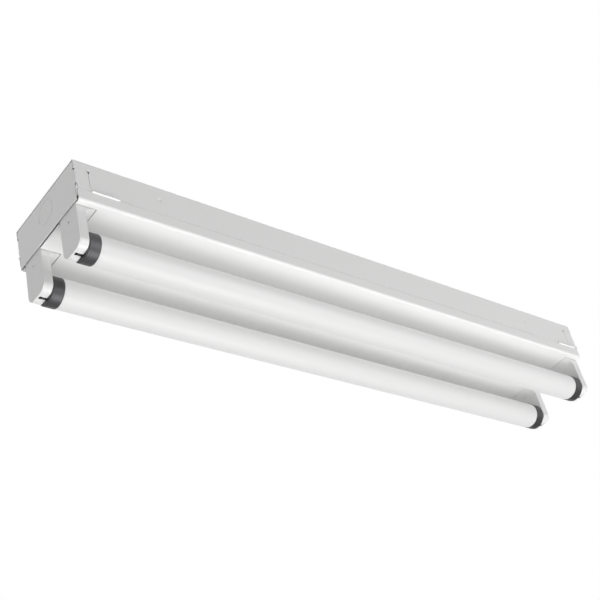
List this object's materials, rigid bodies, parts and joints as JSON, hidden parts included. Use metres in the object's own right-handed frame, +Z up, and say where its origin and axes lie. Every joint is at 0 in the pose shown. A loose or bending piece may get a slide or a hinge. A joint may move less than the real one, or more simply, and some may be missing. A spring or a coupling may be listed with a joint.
{
  "type": "two-lamp fluorescent strip light",
  "caption": "Ceiling strip light: a folded white steel channel with a clip-in cover and fluorescent tubes in rotary lampholders below it.",
  "frame": {"origin": "middle of the channel's top face, halfway between the two ceiling screw holes", "axes": "+X along the lamps to the right, +Y across them to the rear, +Z up to the ceiling"},
  "size_m": [0.6096, 0.0974, 0.0864],
  "materials": {
    "white_paint": "baked white enamel, satin",
    "zinc_steel": "zinc plated, satin",
    "holder_plastic": "moulded, satin",
    "rotor_plastic": "moulded, satin",
    "contact_bronze": "rolled spring strip",
    "lamp_glass": "glass, coated white inside",
    "stem_glass": "clear glass with metal wires",
    "cap_metal": "rolled, dull",
    "base_fibre": "pressed fibre board, dark",
    "pin_brass": "turned",
    "ballast_paint": "white paint, satin",
    "potting": "cast compound, dull",
    "red_insulation": "extruded",
    "blue_insulation": "extruded",
    "black_insulation": "extruded",
    "white_insulation": "extruded",
    "green_insulation": "extruded",
    "connector_plastic": "moulded, matt"
  },
  "bodies": {
    "channel": {"channel_housing": "white_paint", "end_plate_left": "white_paint", "end_plate_right": "white_paint", "lampholder_bracket_left": "zinc_steel", "lampholder_bracket_right": "zinc_steel", "ballast_case": "ballast_paint", "ballast_base": "zinc_steel", "ballast_filling": "potting", "ballast_studs": "zinc_steel", "ballast_nuts": "zinc_steel", "leads_left": "red_insulation", "leads_right": "blue_insulation", "lead_black": "black_insulation", "lead_white": "white_insulation", "lead_ground": "green_insulation", "wire_connectors": "connector_plastic", "lampholder_front_left": "holder_plastic", "lampholder_front_right": "holder_plastic", "lampholder_rear_left": "holder_plastic", "lampholder_rear_right": "holder_plastic", "holder_back_front_left": "holder_plastic", "holder_back_front_right": "holder_plastic", "holder_back_rear_left": "holder_plastic", "holder_back_rear_right": "holder_plastic", "contact_front_left": "contact_bronze", "contact_front_right": "contact_bronze", "contact_rear_left": "contact_bronze", "contact_rear_right": "contact_bronze"},
    "cover": {"channel_cover": "white_paint"},
    "lamp_front": {"lamp_glass_front": "lamp_glass", "cathodes_front": "stem_glass", "lamp_cap_front_left": "cap_metal", "lamp_cap_front_right": "cap_metal", "lamp_base_front_left": "base_fibre", "lamp_base_front_right": "base_fibre", "lamp_pins_front_left": "pin_brass", "lamp_pins_front_right": "pin_brass"},
    "rotor_front_left": {"rotor_front_left": "rotor_plastic"},
    "rotor_front_right": {"rotor_front_right": "rotor_plastic"},
    "lamp_rear": {"lamp_glass_rear": "lamp_glass", "cathodes_rear": "stem_glass", "lamp_cap_rear_left": "cap_metal", "lamp_cap_rear_right": "cap_metal", "lamp_base_rear_left": "base_fibre", "lamp_base_rear_right": "base_fibre", "lamp_pins_rear_left": "pin_brass", "lamp_pins_rear_right": "pin_brass"},
    "rotor_rear_left": {"rotor_rear_left": "rotor_plastic"},
    "rotor_rear_right": {"rotor_rear_right": "rotor_plastic"}
  },
  "joints": [
    {"name": "cover_drop", "type": "slide", "parent": "channel", "child": "cover", "axis": [0, 0, -1], "range_m": [0, 0.016]},
    {"name": "lamp_front_turn", "type": "hinge", "parent": "channel", "child": "lamp_front", "pos_m": [0, -0.0286, -0.0735], "axis": [1, 0, 0], "range_deg": [0, 90]},
    {"name": "rotor_front_left_turn", "type": "hinge", "parent": "channel", "child": "rotor_front_left", "pos_m": [-0.2972, -0.0286, -0.0735], "axis": [1, 0, 0], "range_deg": [0, 90]},
    {"name": "rotor_front_right_turn", "type": "hinge", "parent": "channel", "child": "rotor_front_right", "pos_m": [0.2972, -0.0286, -0.0735], "axis": [1, 0, 0], "range_deg": [0, 90]},
    {"name": "lamp_rear_turn", "type": "hinge", "parent": "channel", "child": "lamp_rear", "pos_m": [0, 0.0286, -0.0735], "axis": [1, 0, 0], "range_deg": [0, 90]},
    {"name": "rotor_rear_left_turn", "type": "hinge", "parent": "channel", "child": "rotor_rear_left", "pos_m": [-0.2972, 0.0286, -0.0735], "axis": [1, 0, 0], "range_deg": [0, 90]},
    {"name": "rotor_rear_right_turn", "type": "hinge", "parent": "channel", "child": "rotor_rear_right", "pos_m": [0.2972, 0.0286, -0.0735], "axis": [1, 0, 0], "range_deg": [0, 90]}
  ],
  "couplings": [
    {"joint": "rotor_front_left_turn", "follows": "lamp_front_turn", "ratio": 1},
    {"joint": "rotor_front_right_turn", "follows": "lamp_front_turn", "ratio": 1},
    {"joint": "rotor_rear_left_turn", "follows": "lamp_rear_turn", "ratio": 1},
    {"joint": "rotor_rear_right_turn", "follows": "lamp_rear_turn", "ratio": 1}
  ]
}
